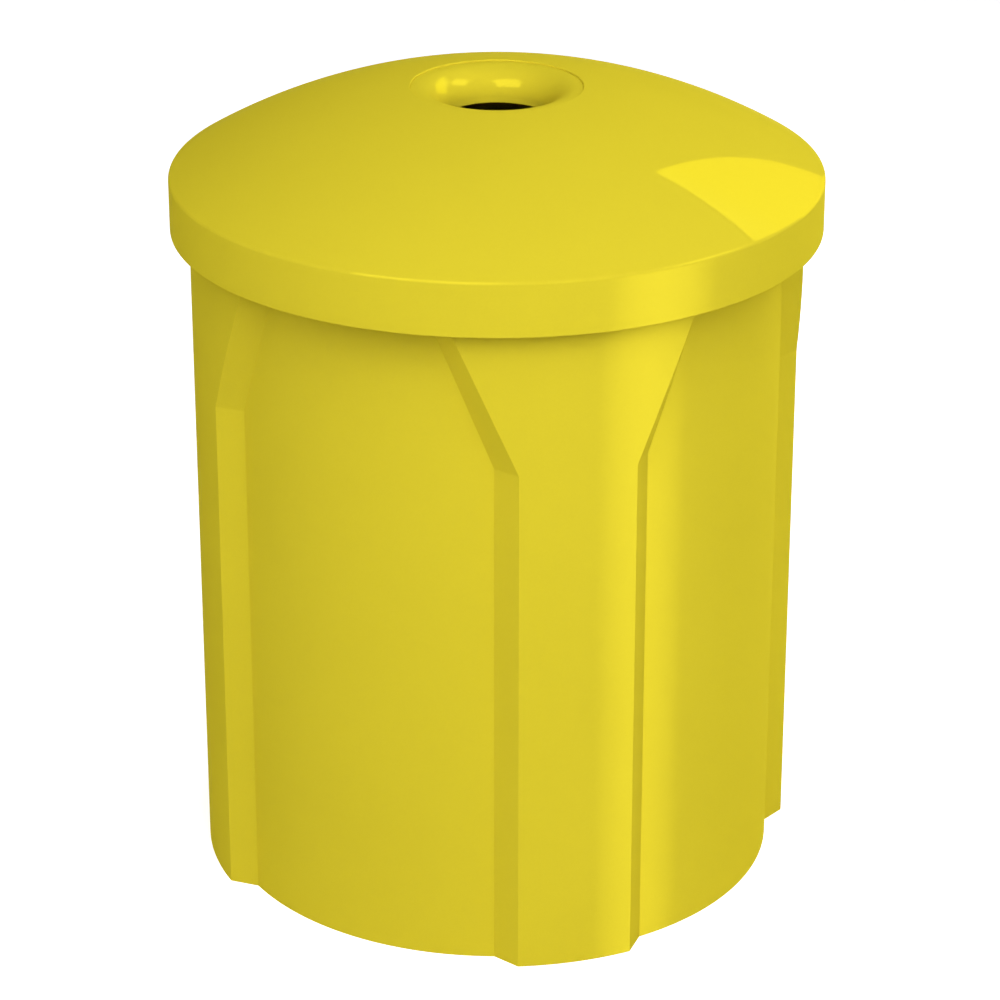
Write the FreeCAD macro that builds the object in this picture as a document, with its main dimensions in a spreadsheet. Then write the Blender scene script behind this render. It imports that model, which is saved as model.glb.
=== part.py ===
import FreeCAD, Part
import math
import os
import re

import Sketcher

# A round litter and recycling receptacle: a ribbed plastic can with a loose domed lid, whose funnel
# takes bottles and drinks cans, and a lift-out rigid liner with two drop handles.
# Row frame: +Z up, origin on the can's axis at the ground, a rib on each of -Y, +X, +Y and -X.
# Every length is in millimetres. The tether hardware is at the back, +Y. The handles are at +X and -X.

SIZES = {
    # can
    "can_height": 705.0,            # ground to the top of the rim, on which the lid rests
    "can_wall": 5.0,
    "rib_radius": 299.0,            # outer face of the four ribs and of the band under the rim
    "recess_depth": 20.0,           # how far each panel between two ribs is set back
    "rib_half_width": 56.7,         # half the chord of a rib's outer face, below the flare
    "rib_top_half_width": 125.5,    # the same where the flare meets the band under the rim
    "rib_side_spread": 21.6,        # how far a rib's slanted side runs sideways as it goes in
    "flare_height": 161.0,          # the stretch over which the ribs widen, below the band
    "panel_ledge": 12.0,            # height of the slope that closes a panel, below the band
    "band_height": 10.0,            # plain band between the panels and the rim's slope
    "rim_overhang": 8.0,            # how far the rim stands out beyond the ribs
    "rim_depth": 8.0,
    "rim_slope": 7.0,               # height over which the wall turns out to the rim
    "floor_height": 20.0,           # ground to the top of the floor
    "floor_wall": 6.0,
    # holes and bosses for anchor bolts, and drains
    "anchor_circle_radius": 180.0,
    "anchor_hole_radius": 7.0,
    "anchor_boss_radius": 30.0,
    "anchor_boss_wall": 6.0,
    "anchor_seat_height": 6.0,      # thickness of plastic that an anchor bolt clamps to the ground
    "anchor_washer_radius": 22.0,
    "anchor_washer_thickness": 3.0,
    "drain_circle_radius": 120.0,
    "drain_hole_radius": 6.0,
    # lid
    "lid_wall": 4.5,
    "lid_overlap": 42.5,            # how far the skirt hangs below the can's rim
    "skirt_height": 52.5,           # skirt's lower edge to the shoulder
    "shoulder_fillet": 4.0,
    "dome_radius": 604.0,           # the dome is part of a sphere centred on the axis
    "gusset_thickness": 5.0,
    "gusset_reach": 20.0,           # how far a gusset runs inwards from the rim's outer edge
    "gusset_nib": 14.0,             # how far a gusset's nib hangs outside the rim
    "nib_thickness": 4.5,
    "lid_side_clearance": 1.5,      # between the rim and the gussets' nibs
    # funnel
    "mouth_radius": 82.5,
    "mouth_gap": 0.6,               # between the funnel's flange and the lid
    "mouth_step": 1.5,              # how far the flange is sunk below the lid's edge
    "flange_thickness": 5.0,
    "lip_width": 4.0,               # flat part of the flange that shows
    "throat_radius": 51.5,
    "throat_length": 6.0,           # straight wall at the bottom of the funnel
    "funnel_wall": 4.0,
    "ledge_clearance": 2.2,         # between the funnel's wall and the lid's ledge
    "ledge_thickness": 4.0,
    "funnel_screw_radius": 1.9,
    "funnel_screw_head_radius": 3.8,
    "funnel_screw_head_height": 2.4,
    "funnel_screw_bite": 3.5,       # length of thread in the flange
    "screw_hole_clearance": 0.3,
    # tether hardware, one set through the lid and one through the can
    "tether_inset": 67.5,           # skirt to the lid's bolt
    "tether_drop": 33.0,            # can's rim to its bolt
    "bolt_radius": 3.0,
    "bolt_head_radius": 8.0,
    "bolt_head_height": 3.5,
    "bolt_hole_clearance": 0.25,
    "washer_radius": 9.0,
    "washer_thickness": 1.5,
    "hub_radius": 7.0,
    "hub_length": 8.0,
    "eye_outer_radius": 10.0,
    "eye_inner_radius": 6.0,
    "eye_thickness": 6.0,
    "curved_wall_gap": 0.2,         # flat washer to curved plastic
    # liner
    "liner_top_gap": 45.0,          # can's rim down to the liner's rim
    "liner_side_gap": 12.0,         # liner's rim to the can's panels
    "liner_taper": 18.0,            # how much smaller the base's radius is than the mouth's
    "liner_wall": 4.0,
    "liner_rim_reach": 8.0,         # how far the rim stands out from the wall
    "liner_rim_drop": 16.0,
    # handles
    "pad_depth": 14.0,              # liner's outside, at its mouth, to the flat pad of a hinge strap
    "pad_margin": 10.0,             # pad beyond each end of the strap
    "pad_height": 48.0,
    "pad_drop": 8.0,                # liner's rim to the pad's top
    "rod_radius": 4.0,
    "rod_clearance": 0.08,
    "strap_thickness": 2.0,
    "strap_end_gap": 2.0,           # strap to the start of the loop's corner
    "strap_height": 30.0,
    "strap_top_gap": 9.0,           # pad's top to the top of the barrel
    "handle_half_width": 56.0,
    "handle_reach": 64.0,
    "handle_corner": 14.0,
    "grip_radius": 8.0,
    "grip_end_gap": 4.0,            # grip to the start of the loop's corner
    "grip_chamfer": 2.0,
    "grip_fit": 0.05,
    "rivet_radius": 3.0,
    "rivet_clearance": 0.1,
    "rivet_head_radius": 5.0,
    "rivet_head_height": 2.0,
    "rivet_end_margin": 12.0,       # strap's end to a rivet
    "rivet_rise": 8.0,              # strap's lower edge to the rivets
    "rivet_tail_gap": 0.25,         # liner's wall to the rivet's flat tail
}

# Sizes that follow from those above, as formulas in the same sheet, in the order they build on.
FITS = {
    "rim_radius": "rib_radius + rim_overhang",
    "panel_top": "can_height - rim_depth - rim_slope - band_height - panel_ledge",
    "flare_start": "panel_top + panel_ledge - flare_height",
    "lid_radius": "rim_radius + lid_side_clearance + nib_thickness + lid_wall",
    "tether_lid_radius": "lid_radius - tether_inset",
    "liner_height": "can_height - liner_top_gap - floor_height",
    "liner_mouth_radius": "rib_radius - recess_depth - can_wall - liner_side_gap - liner_rim_reach",
    "liner_base_radius": "liner_mouth_radius - liner_taper",
    "pad_face": "liner_mouth_radius - pad_depth",
    "strap_half_width": "handle_half_width - handle_corner - strap_end_gap",
    "pad_half_width": "strap_half_width + pad_margin",
    "rivet_half_spacing": "strap_half_width - rivet_end_margin",
    "grip_half_length": "handle_half_width - handle_corner - grip_end_gap",
}

RIBS = 4
GUSSETS = 8
ANCHORS = 4
DRAINS = 4
FUNNEL_SCREWS = 4
OVERCUT = 1.0                       # how far a cutting solid runs past what it cuts

doc = FreeCAD.newDocument("receptacle")
sheet = doc.addObject("Spreadsheet::Sheet", "Sizes")
for line, (size_name, size_value) in enumerate(SIZES.items(), start=1):
    sheet.set(f"A{line}", size_name)
    sheet.set(f"B{line}", str(size_value))
    sheet.setAlias(f"B{line}", size_name)
for line, (size_name, size_formula) in enumerate(FITS.items(), start=len(SIZES) + 1):
    sheet.set(f"A{line}", size_name)
    sheet.set(f"B{line}", "=" + size_formula)
    sheet.setAlias(f"B{line}", size_name)
doc.recompute()


# ---------------------------------------------------------------- formulas

def formula(text):
    """The text with each size name pointed at the sheet."""
    return re.sub(r"[a-z]+(?:_[a-z]+)+", lambda name: "Sizes." + name.group(0), str(text))


def number(text):
    """The value of a formula, as a plain number."""
    value = sheet.evalExpression(formula(text))
    return float(getattr(value, "Value", value))


def bind(thing, **properties):
    """Ties each property of a document object to a formula."""
    for name, text in properties.items():
        thing.setExpression(name.replace("__", "."), formula(text))
    return thing


recess_radius = "(rib_radius - recess_depth)"
band_bottom = "(panel_top + panel_ledge)"
floor_underside = "(floor_height - floor_wall)"
skirt_bottom = "(can_height - lid_overlap)"
shoulder = f"({skirt_bottom} + skirt_height)"


def dome_height(radius, inset="0"):
    """Height of the dome at a distance from the axis, or of a surface parallel to it and inside it."""
    centre = f"({shoulder} - sqrt(dome_radius^2 - lid_radius^2))"
    return f"({centre} + sqrt((dome_radius - {inset})^2 - ({radius})^2))"


lid_hole = "(mouth_radius + mouth_gap)"
flange_top = f"({dome_height(lid_hole)} - mouth_step)"
flange_bottom = f"({flange_top} - flange_thickness)"
ledge_bottom = f"({flange_bottom} - ledge_thickness)"
funnel_curve = "(mouth_radius - lip_width - throat_radius)"
outer_curve = f"({funnel_curve} - funnel_wall)"
flange_inner = f"sqrt({outer_curve}^2 - ({funnel_curve} - flange_thickness)^2)"
flange_inner = f"(mouth_radius - lip_width - {flange_inner})"
ledge_radius = f"({flange_inner} + ledge_clearance)"
throat_bottom = f"({flange_top} - {funnel_curve} - throat_length)"
screw_circle = f"(({ledge_radius} + mouth_radius) / 2)"

liner_top = "(floor_height + liner_height)"
liner_slope = "((liner_mouth_radius - liner_base_radius) / liner_height)"
barrel_radius = "(rod_radius + rod_clearance + strap_thickness)"
pad_top = f"({liner_top} - pad_drop)"
pivot_height = f"({pad_top} - strap_top_gap - {barrel_radius})"
pivot_reach = f"(pad_face - {barrel_radius})"
rivet_height = f"({pivot_height} - strap_height + rivet_rise)"


# ---------------------------------------------------------------- sketches and features

def new_body(label):
    body = doc.addObject("PartDesign::Body", label)
    body.Label = label
    return body


def plane_of(body, role):
    return next(feature for feature in body.Origin.OriginFeatures if feature.Role == role)


def new_sketch(body, name, role, height="0"):
    """An empty sketch on one of the body's own planes, or parallel to it at a height."""
    sketch = body.newObject("Sketcher::SketchObject", name)
    sketch.AttachmentSupport = [(plane_of(body, role), "")]
    sketch.MapMode = "FlatFace"
    if height != "0":
        bind(sketch, AttachmentOffset__Base__z=height)
    return sketch


def fix_point(sketch, edge, end, x, y):
    """Ties one end of a sketch edge to two formulas, measured from the sketch's origin."""
    for kind, axis, text in (("DistanceX", -2, x), ("DistanceY", -1, y)):
        if text == "0":
            sketch.addConstraint(Sketcher.Constraint("PointOnObject", edge, end, axis))
        else:
            place = sketch.addConstraint(Sketcher.Constraint(kind, -1, 1, edge, end, number(text)))
            sketch.setExpression(f"Constraints[{place}]", formula(text))


def draw(body, name, role, corners, height="0"):
    """A closed outline. A corner is (x, y), or (x, y, radius, side) where an arc starts: side is 1 if
    the arc bulges to the left of the way it runs, and -1 if it bulges to the right."""
    sketch = new_sketch(body, name, role, height)
    points = [FreeCAD.Vector(number(c[0]), number(c[1]), 0) for c in corners]
    for i, corner in enumerate(corners):
        start, end = points[i], points[(i + 1) % len(points)]
        if len(corner) == 2:
            sketch.addGeometry(Part.LineSegment(start, end), False)
            continue
        radius, chord = number(corner[2]), end - start
        sagitta = radius - math.sqrt(max(radius ** 2 - chord.Length ** 2 / 4, 0))
        left = FreeCAD.Vector(-chord.y, chord.x, 0).normalize()
        middle = (start + end) / 2 + left * sagitta * corner[3]
        sketch.addGeometry(Part.Arc(start, middle, end), False)
    for i, corner in enumerate(corners):
        after = (i + 1) % len(corners)
        start, end = ends_of(corner)
        next_start = ends_of(corners[after])[0]
        sketch.addConstraint(Sketcher.Constraint("Coincident", i, end, after, next_start))
        fix_point(sketch, i, start, corner[0], corner[1])
        if len(corner) == 4:
            place = sketch.addConstraint(Sketcher.Constraint("Radius", i, number(corner[2])))
            sketch.setExpression(f"Constraints[{place}]", formula(corner[2]))
    return sketch


def ends_of(corner):
    """The sketch's numbers for the first and last point of the edge that starts at a corner. An arc's
    points are numbered anticlockwise, so an arc that bulges to the left has them the other way."""
    return (2, 1) if len(corner) == 4 and corner[3] == 1 else (1, 2)


def circle(body, name, role, x, y, radius, height="0"):
    sketch = new_sketch(body, name, role, height)
    centre = FreeCAD.Vector(number(x), number(y), 0)
    sketch.addGeometry(Part.Circle(centre, FreeCAD.Vector(0, 0, 1), number(radius)), False)
    fix_point(sketch, 0, 3, x, y)
    place = sketch.addConstraint(Sketcher.Constraint("Radius", 0, number(radius)))
    sketch.setExpression(f"Constraints[{place}]", formula(radius))
    return sketch


def turn(body, sketch, kind="PartDesign::Revolution"):
    feature = body.newObject(kind, sketch.Name + "Turn")
    feature.Profile = sketch
    feature.ReferenceAxis = (sketch, ["V_Axis"])
    feature.Angle = 360
    sketch.Visibility = False
    return feature


def pattern(body, feature, count):
    """Repeats a feature round the Z axis."""
    ring = body.newObject("PartDesign::PolarPattern", feature.Name + "Ring")
    ring.Originals = [feature]
    ring.Axis = (plane_of(body, "Z_Axis"), [""])
    ring.Angle = 360
    ring.Occurrences = count
    body.Tip = ring
    return ring


def fillet(body, base, radius, wanted):
    """Rounds the edges of a body's last feature for which wanted(edge) is true."""
    doc.recompute()
    names = [f"Edge{i}" for i, edge in enumerate(base.Shape.Edges, start=1) if wanted(edge)]
    rounding = body.newObject("PartDesign::Fillet", base.Name + "Fillet")
    rounding.Base = (base, names)
    bind(rounding, Radius=radius)
    body.Tip = rounding
    return rounding


def on_circle(radius, height):
    """A test for a full circle about the Z axis, of that radius, at that height."""
    def wanted(edge):
        return (edge.Curve.TypeId == "Part::GeomCircle"
                and abs(edge.Curve.Radius - number(radius)) < 1e-3
                and abs(edge.Curve.Center.z - number(height)) < 1e-3)
    return wanted


def solid(kind, label, **properties):
    thing = doc.addObject(kind, label)
    thing.Label = label
    return bind(thing, **properties)


def rod(label, radius, height, x="0", y="0", z="0"):
    """An upright cylinder standing at a point."""
    return solid("Part::Cylinder", label, Radius=radius, Height=height,
                 Placement__Base__x=x, Placement__Base__y=y, Placement__Base__z=z)


def join(label, pieces):
    union = doc.addObject("Part::MultiFuse", label)
    union.Label = label
    union.Shapes = pieces
    return union


def cut(label, base, tool):
    difference = doc.addObject("Part::Cut", label)
    difference.Label = label
    difference.Base = base
    difference.Tool = tool
    return difference


def around(label, count, radius, first_turn, make):
    """Joins `count` pieces that stand on a circle about the axis. make(label, x, y) makes one."""
    pieces = []
    for i in range(count):
        angle = f"({first_turn} + {360 / count} * {i})"
        x, y = f"({radius} * cos({angle}))", f"({radius} * sin({angle}))"
        pieces.append(make(f"{label}_{i + 1}", x, y))
    return join(label, pieces)


def place(thing, turn_axis, angle, x="0", y="0", z="0"):
    """Turns a finished piece about its own origin, and moves it, by formulas."""
    thing.Placement = FreeCAD.Placement(FreeCAD.Vector(0, 0, 0), FreeCAD.Rotation(turn_axis, 0.0))
    thing.Placement.Rotation.Axis = turn_axis
    doc.recompute()
    at = FreeCAD.Vector(number(x), number(y), number(z))
    thing.Placement = FreeCAD.Placement(at, FreeCAD.Rotation(turn_axis, number(angle)))
    return bind(thing, Placement__Base__x=x, Placement__Base__y=y, Placement__Base__z=z)


# ---------------------------------------------------------------- can

def rib_section(body, name, half_width, inset, height):
    """The outline of one rib, or of the hollow in it, which is smaller all round by inset. Its slanted
    side runs on past both circles, so that it meets the drum inside and is trimmed outside."""
    shift = f"({inset} * (sqrt(recess_depth^2 + rib_side_spread^2) - rib_side_spread) / recess_depth)"
    face = f"asin({half_width} / rib_radius)"
    foot = f"({face} + asin(rib_side_spread / {recess_radius}) - asin({shift} / {recess_radius}))"
    face = f"({face} - asin({shift} / rib_radius))"
    near = [f"((rib_radius - {inset}) * {f}({face}))" for f in ("cos", "sin")]
    far = [f"(({recess_radius} - {inset}) * {f}({foot}))" for f in ("cos", "sin")]
    outside = [f"(1.5 * {n} - 0.5 * {f})" for n, f in zip(near, far)]
    inside = [f"(1.5 * {f} - 0.5 * {n})" for n, f in zip(near, far)]
    corners = [
        (inside[0], "-" + inside[1]),
        (outside[0], "-" + outside[1]),
        ("1.25 * rib_radius", "0"),
        (outside[0], outside[1]),
        (inside[0], inside[1]),
    ]
    return draw(body, name, "XY_Plane", corners, height)


def add_ribs(body, inset, bottom, levels):
    """Ribs on a drum: straight up from the bottom, then through each level of (height, half width)."""
    sections = [rib_section(body, body.Name + "RibFoot", "rib_half_width", inset, bottom)]
    for i, (height, half_width) in enumerate(levels, start=1):
        sections.append(rib_section(body, f"{body.Name}RibLevel{i}", half_width, inset, height))
    rib = body.newObject("PartDesign::AdditiveLoft", body.Name + "Rib")
    rib.Profile = sections[0]
    rib.Sections = sections[1:]
    rib.Ruled = True
    pattern(body, rib, RIBS)
    face, top = f"(rib_radius - {inset})", levels[-1][0]
    corners = [
        (face, bottom), ("1.5 * rib_radius", bottom), ("1.5 * rib_radius", top), (face, top),
    ]
    trim = turn(body, draw(body, body.Name + "Trim", "XZ_Plane", corners), "PartDesign::Groove")
    body.Tip = trim
    return trim


def can_form():
    """The can's outside, as a solid."""
    body = new_body("can_form")
    corners = [
        ("0", "0"),
        (recess_radius, "0"),
        (recess_radius, "panel_top"),
        ("rib_radius", band_bottom),
        ("rib_radius", "can_height - rim_depth - rim_slope"),
        ("rim_radius", "can_height - rim_depth"),
        ("rim_radius", "can_height"),
        ("0", "can_height"),
    ]
    turn(body, draw(body, "CanOutline", "XZ_Plane", corners))
    add_ribs(body, "0", "0", [("flare_start", "rib_half_width"), (band_bottom, "rib_top_half_width")])
    return body


def can_core():
    """The can's hollow above the floor."""
    body = new_body("can_core")
    rise = "(can_wall * (sqrt(recess_depth^2 + panel_ledge^2) - panel_ledge) / recess_depth)"
    corners = [
        ("0", "floor_height"),
        (f"{recess_radius} - can_wall", "floor_height"),
        (f"{recess_radius} - can_wall", f"panel_top + {rise}"),
        ("rib_radius - can_wall", f"{band_bottom} + {rise}"),
        ("rib_radius - can_wall", f"can_height + {OVERCUT}"),
        ("0", f"can_height + {OVERCUT}"),
    ]
    turn(body, draw(body, "CoreOutline", "XZ_Plane", corners))
    levels = [("flare_start", "rib_half_width"), (f"({band_bottom} + {rise})", "rib_top_half_width")]
    add_ribs(body, "can_wall", "floor_height", levels)
    return body


def foot_core():
    """The hollow under the floor, which leaves the wall standing on the ground as a thin foot."""
    body = new_body("foot_core")
    bottom, inner = f"(0 - {OVERCUT})", f"({recess_radius} - can_wall)"
    corners = [("0", bottom), (inner, bottom), (inner, floor_underside), ("0", floor_underside)]
    turn(body, draw(body, "FootOutline", "XZ_Plane", corners))
    add_ribs(body, "can_wall", bottom, [(floor_underside, "rib_half_width")])
    return body


def outer_can():
    shell = cut("can_shell", can_form(), join("can_hollows", [can_core(), foot_core()]))
    bosses = around("anchor_bosses", ANCHORS, "anchor_circle_radius", 45,
                    lambda label, x, y: rod(label, "anchor_boss_radius", "floor_height", x, y))
    with_bosses = join("can_with_bosses", [shell, bosses])
    pocket_radius = "anchor_boss_radius - anchor_boss_wall"
    pockets = around("anchor_pockets", ANCHORS, "anchor_circle_radius", 45,
                     lambda label, x, y: rod(label, pocket_radius, "floor_height", x, y,
                                             "anchor_seat_height"))
    holes = around("anchor_holes", ANCHORS, "anchor_circle_radius", 45,
                   lambda label, x, y: rod(label, "anchor_hole_radius", "floor_height", x, y,
                                           f"(0 - {OVERCUT})"))
    drains = around("drain_holes", DRAINS, "drain_circle_radius", 0,
                    lambda label, x, y: rod(label, "drain_hole_radius", "2 * floor_wall", x, y,
                                            f"{floor_underside} - {OVERCUT}"))
    tether = rod("can_tether_hole", "bolt_radius + bolt_hole_clearance", "rib_radius")
    place(tether, FreeCAD.Vector(1, 0, 0), "-90", z="can_height - tether_drop")
    return cut("outer_can", with_bosses, join("can_holes", [pockets, holes, drains, tether]))


def anchor_washers():
    """Wide washers, one in each boss, that spread an anchor bolt's load over the plastic."""
    discs = around("anchor_discs", ANCHORS, "anchor_circle_radius", 45,
                   lambda label, x, y: rod(label, "anchor_washer_radius", "anchor_washer_thickness",
                                           x, y, "anchor_seat_height"))
    bores = around("anchor_bores", ANCHORS, "anchor_circle_radius", 45,
                   lambda label, x, y: rod(label, "anchor_hole_radius", "floor_height", x, y))
    return cut("anchor_washers", discs, bores)


# ---------------------------------------------------------------- tether hardware

def tether_set(prefix, wall, angle, y, z):
    """A round-headed bolt from outside, with a washer and an eye nut inside the wall. Each is built
    with the wall's outer face at its origin and +Z outwards, then turned back about X."""
    back = FreeCAD.Vector(1, 0, 0)
    inside = f"(0 - {wall} - curved_wall_gap)"
    nut_face = f"({inside} - washer_thickness)"

    bolt = new_body(prefix + "_tether_bolt")
    reach = f"({nut_face} - hub_length)"
    outline = [
        ("0", reach), ("bolt_radius", reach), ("bolt_radius", "0"), ("bolt_head_radius", "0"),
        ("bolt_head_radius", "bolt_head_height / 3"),
        ("bolt_head_radius / 2", "bolt_head_height"), ("0", "bolt_head_height"),
    ]
    turn(bolt, draw(bolt, prefix + "BoltOutline", "XZ_Plane", outline))

    washer = new_body(prefix + "_tether_washer")
    hole = "(bolt_radius + bolt_hole_clearance)"
    outline = [(hole, nut_face), ("washer_radius", nut_face), ("washer_radius", inside), (hole, inside)]
    turn(washer, draw(washer, prefix + "WasherOutline", "XZ_Plane", outline))

    nut = new_body(prefix + "_tether_eye_nut")
    eye_centre = f"({reach} - (eye_outer_radius + eye_inner_radius) / 2)"
    ring = nut.newObject("PartDesign::Pad", prefix + "EyeRing")
    ring.Profile = circle(nut, prefix + "EyeOutline", "YZ_Plane", "0", eye_centre, "eye_outer_radius")
    bind(ring, Length="eye_thickness")
    ring.Midplane = True
    hub = nut.newObject("PartDesign::Pad", prefix + "EyeHub")
    hub.Profile = circle(nut, prefix + "HubOutline", "XY_Plane", "0", "0", "hub_radius", reach)
    bind(hub, Length="hub_length")
    eye = nut.newObject("PartDesign::Pocket", prefix + "EyeHole")
    eye.Profile = circle(nut, prefix + "EyeHoleOutline", "YZ_Plane", "0", eye_centre, "eye_inner_radius")
    bind(eye, Length="4 * eye_thickness")
    eye.Midplane = True
    thread = nut.newObject("PartDesign::Pocket", prefix + "Thread")
    thread.Profile = circle(nut, prefix + "ThreadOutline", "XY_Plane", "0", "0",
                            "bolt_radius + grip_fit", nut_face)
    bind(thread, Length="hub_length")
    nut.Tip = thread

    for piece in (bolt, washer, nut):
        place(piece, back, f"(-1 * {angle})", y=y, z=z)
    return [bolt, washer, nut]


# ---------------------------------------------------------------- lid

def lid_shell():
    """Skirt, dome and the ledge that carries the funnel, with gussets that sit on the can's rim."""
    body = new_body("lid_moulding")
    inner, thick = "(lid_radius - lid_wall)", f"({lid_hole} + lid_wall)"
    outline = [
        ("lid_radius", skirt_bottom),
        ("lid_radius", shoulder, "dome_radius", -1),
        (lid_hole, dome_height(lid_hole)),
        (lid_hole, flange_bottom),
        (ledge_radius, flange_bottom),
        (ledge_radius, ledge_bottom),
        (thick, ledge_bottom),
        (thick, dome_height(thick, "lid_wall"), "dome_radius - lid_wall", 1),
        (inner, dome_height(inner, "lid_wall")),
        (inner, skirt_bottom),
    ]
    shell = turn(body, draw(body, "LidOutline", "XZ_Plane", outline))
    fillet(body, shell, "shoulder_fillet", on_circle("lid_radius", shoulder))

    nib, in_wall = "(rim_radius + lid_side_clearance)", "(lid_radius - lid_wall / 2)"
    tip = "(rim_radius - gusset_reach)"
    outline = [
        (nib, "can_height - gusset_nib"),
        (in_wall, "can_height - gusset_nib"),
        (in_wall, dome_height(in_wall, "lid_wall / 2")),
        (tip, dome_height(tip, "lid_wall / 2")),
        (tip, "can_height"),
        (nib, "can_height"),
    ]
    gusset = body.newObject("PartDesign::Pad", "Gusset")
    gusset.Profile = draw(body, "GussetOutline", "XZ_Plane", outline)
    bind(gusset, Length="gusset_thickness")
    gusset.Midplane = True
    pattern(body, gusset, GUSSETS)

    screw_holes = around("ledge_screw_holes", FUNNEL_SCREWS, screw_circle, 45,
                         lambda label, x, y: rod(label, "funnel_screw_radius + screw_hole_clearance",
                                                 "3 * ledge_thickness", x, y,
                                                 f"{ledge_bottom} - ledge_thickness"))
    bolt_hole = rod("lid_tether_hole", "bolt_radius + bolt_hole_clearance", "8 * lid_wall")
    drop = "(4 * lid_wall)"
    place(bolt_hole, FreeCAD.Vector(1, 0, 0), f"(-1 * {tether_tilt})",
          y=f"tether_lid_radius - {drop} * sin({tether_tilt})",
          z=f"{dome_height('tether_lid_radius')} - {drop} * cos({tether_tilt})")
    return cut("lid_shell", body, join("lid_holes", [screw_holes, bolt_hole]))


tether_tilt = "asin(tether_lid_radius / dome_radius)"


def funnel_insert():
    """The flange that sits on the lid's ledge, and the curved mouth that narrows to the throat."""
    body = new_body("funnel_moulding")
    curve_end = f"({flange_top} - {funnel_curve})"
    outline = [
        ("mouth_radius", flange_bottom),
        ("mouth_radius", flange_top),
        ("mouth_radius - lip_width", flange_top, funnel_curve, -1),
        ("throat_radius", curve_end),
        ("throat_radius", throat_bottom),
        ("throat_radius + funnel_wall", throat_bottom),
        ("throat_radius + funnel_wall", curve_end, outer_curve, 1),
        (flange_inner, flange_bottom),
    ]
    turn(body, draw(body, "FunnelOutline", "XZ_Plane", outline))
    pilots = around("flange_pilot_holes", FUNNEL_SCREWS, screw_circle, 45,
                    lambda label, x, y: rod(label, "funnel_screw_radius + grip_fit",
                                            f"funnel_screw_bite + {OVERCUT}", x, y,
                                            f"{flange_bottom} - {OVERCUT}"))
    return cut("funnel_insert", body, pilots)


def funnel_screws():
    """Screws up through the lid's ledge into the funnel's flange."""
    length = "(ledge_thickness + funnel_screw_bite)"

    def screw(label, x, y):
        head = rod(label + "_head", "funnel_screw_head_radius", "funnel_screw_head_height", x, y,
                   f"{ledge_bottom} - funnel_screw_head_height")
        shank = rod(label + "_shank", "funnel_screw_radius", length, x, y, ledge_bottom)
        return join(label, [head, shank])

    return around("funnel_screws", FUNNEL_SCREWS, screw_circle, 45, screw)


# ---------------------------------------------------------------- liner

def strap_rivet_holes(label):
    """Cylinders through strap, pad and liner wall, for one hinge at +X."""
    bars = []
    for i, side in enumerate(("rivet_half_spacing", "(0 - rivet_half_spacing)"), start=1):
        bar = rod(f"{label}_{i}", "rivet_radius + rivet_clearance", "liner_mouth_radius")
        bars.append(place(bar, FreeCAD.Vector(0, 1, 0), "90",
                          x="pad_face - 4 * strap_thickness", y=side, z=rivet_height))
    return join(label, bars)


def half_turned(label, piece):
    """The same piece at the other side of the axis."""
    twin = doc.addObject("Part::Mirroring", label)
    twin.Label = label
    twin.Source = piece
    twin.Normal = FreeCAD.Vector(1, 0, 0)
    return twin


def liner_bucket():
    """A tapered rigid bucket with a turned-down rim and two flat pads inside for the hinge straps."""
    form = new_body("liner_form")
    under_rim = f"({liner_top} - liner_wall)"
    wall_top = f"(liner_mouth_radius - liner_wall * {liner_slope})"
    rim = "(liner_mouth_radius + liner_rim_reach)"
    outline = [
        ("0", "floor_height"),
        ("liner_base_radius", "floor_height"),
        (wall_top, under_rim),
        (f"{rim} - liner_wall", under_rim),
        (f"{rim} - liner_wall", f"{liner_top} - liner_rim_drop"),
        (rim, f"{liner_top} - liner_rim_drop"),
        (rim, liner_top),
        ("0", liner_top),
    ]
    turn(form, draw(form, "LinerOutline", "XZ_Plane", outline))

    cavity = new_body("liner_cavity")
    floor_top = "(floor_height + liner_wall)"
    outline = [
        ("0", floor_top),
        (f"liner_base_radius + liner_wall * {liner_slope} - liner_wall", floor_top),
        (f"liner_mouth_radius - liner_wall + {OVERCUT} * {liner_slope}", f"{liner_top} + {OVERCUT}"),
        ("0", f"{liner_top} + {OVERCUT}"),
    ]
    turn(cavity, draw(cavity, "CavityOutline", "XZ_Plane", outline))

    pad = solid("Part::Box", "hinge_pad", Length="2 * liner_rim_drop", Width="2 * pad_half_width",
                Height="pad_height", Placement__Base__x="pad_face",
                Placement__Base__y="(0 - pad_half_width)", Placement__Base__z=f"{pad_top} - pad_height")
    pads = join("hinge_pads", [pad, half_turned("hinge_pad_twin", pad)])
    moulding = cut("liner_moulding", form, cut("cavity_around_pads", cavity, pads))
    holes = strap_rivet_holes("liner_rivet_holes")
    both = join("liner_holes", [holes, half_turned("liner_rivet_holes_twin", holes)])
    return cut("liner_bucket", moulding, both)


def hinge_strap():
    """A steel strap folded round the handle's rod and riveted to the pad, for the hinge at +X."""
    plate = solid("Part::Box", "strap_plate", Length="strap_thickness", Width="2 * strap_half_width",
                  Height="strap_height", Placement__Base__x="pad_face - strap_thickness",
                  Placement__Base__y="(0 - strap_half_width)",
                  Placement__Base__z=f"{pivot_height} - strap_height")
    barrel = rod("strap_barrel", barrel_radius, "2 * strap_half_width")
    bore = rod("strap_bore", "rod_radius + rod_clearance", "4 * strap_half_width")
    for bar, reach in ((barrel, "strap_half_width"), (bore, "2 * strap_half_width")):
        place(bar, FreeCAD.Vector(1, 0, 0), "-90", x=pivot_reach, y=f"(0 - {reach})", z=pivot_height)
    holes = join("strap_cuts", [bore, strap_rivet_holes("strap_rivet_holes")])
    return cut("hinge_strap", join("strap_blank", [plate, barrel]), holes)


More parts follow.
